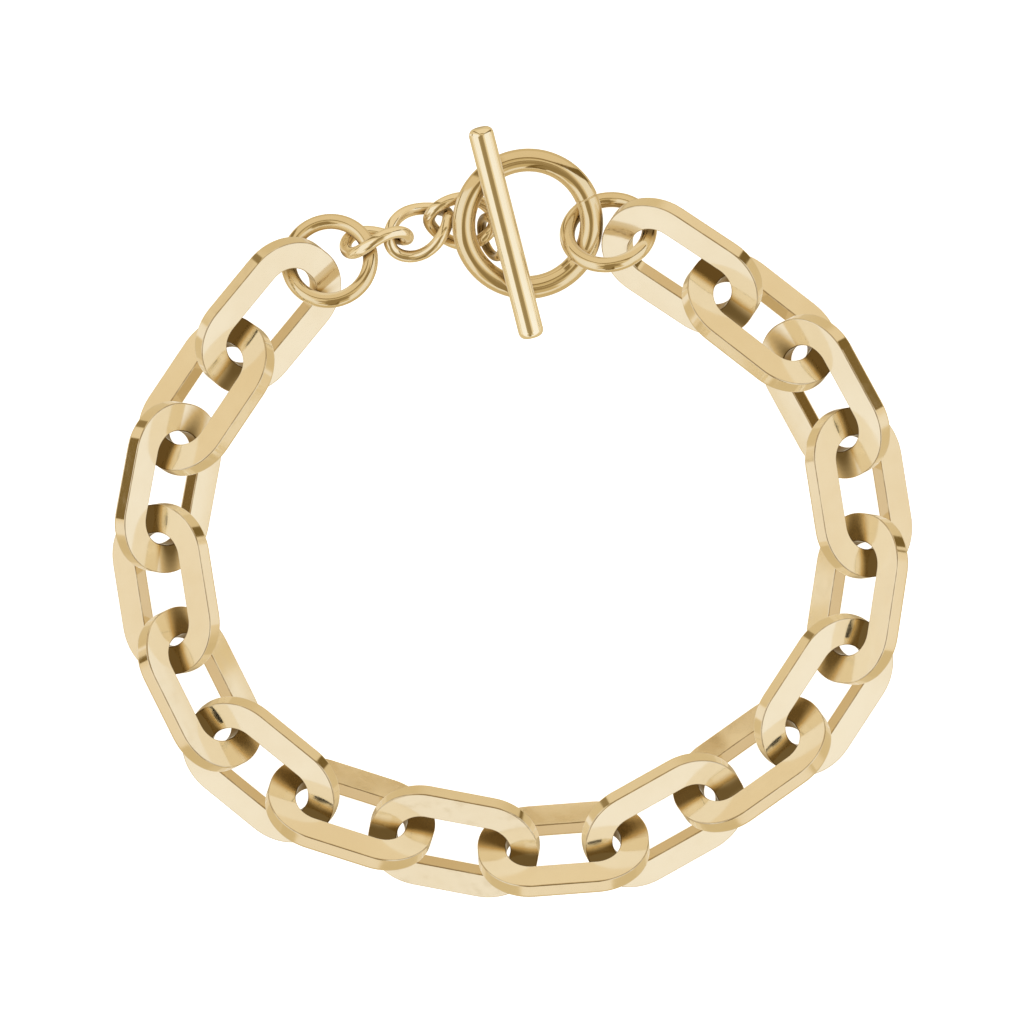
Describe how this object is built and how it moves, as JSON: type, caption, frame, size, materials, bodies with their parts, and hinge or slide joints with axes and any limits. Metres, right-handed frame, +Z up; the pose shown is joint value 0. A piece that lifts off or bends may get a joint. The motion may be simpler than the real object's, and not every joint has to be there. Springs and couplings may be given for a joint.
{
  "type": "link bracelet",
  "caption": "Heavy oblong links with flat bars in a closed loop, fastened by a toggle bar through a ring, with round jump rings and small twisted links.",
  "frame": {"origin": "on the surface the bracelet lies on, under the middle of its outline", "axes": "+Z up from the surface, +Y towards the clasp, +X across the loop"},
  "size_m": [0.0758, 0.0734, 0.0086],
  "materials": {
    "heavy_links": "polished",
    "small_links": "polished",
    "clasp": "polished"
  },
  "bodies": {
    "root": {"link_01": "heavy_links", "link_02": "heavy_links", "link_03": "heavy_links", "link_04": "heavy_links", "link_05": "heavy_links", "link_06": "heavy_links", "link_07": "heavy_links", "link_08": "heavy_links", "link_09": "heavy_links", "link_10": "heavy_links", "link_11": "heavy_links", "link_12": "heavy_links", "link_13": "heavy_links", "link_14": "heavy_links", "link_15": "heavy_links", "link_16": "heavy_links", "link_17": "heavy_links", "small_link_1": "small_links", "small_link_2": "small_links", "small_link_3": "small_links", "jump_ring_left": "clasp", "jump_ring_right": "clasp", "toggle_ring": "clasp", "toggle_bar": "clasp"}
  },
  "joints": []
}
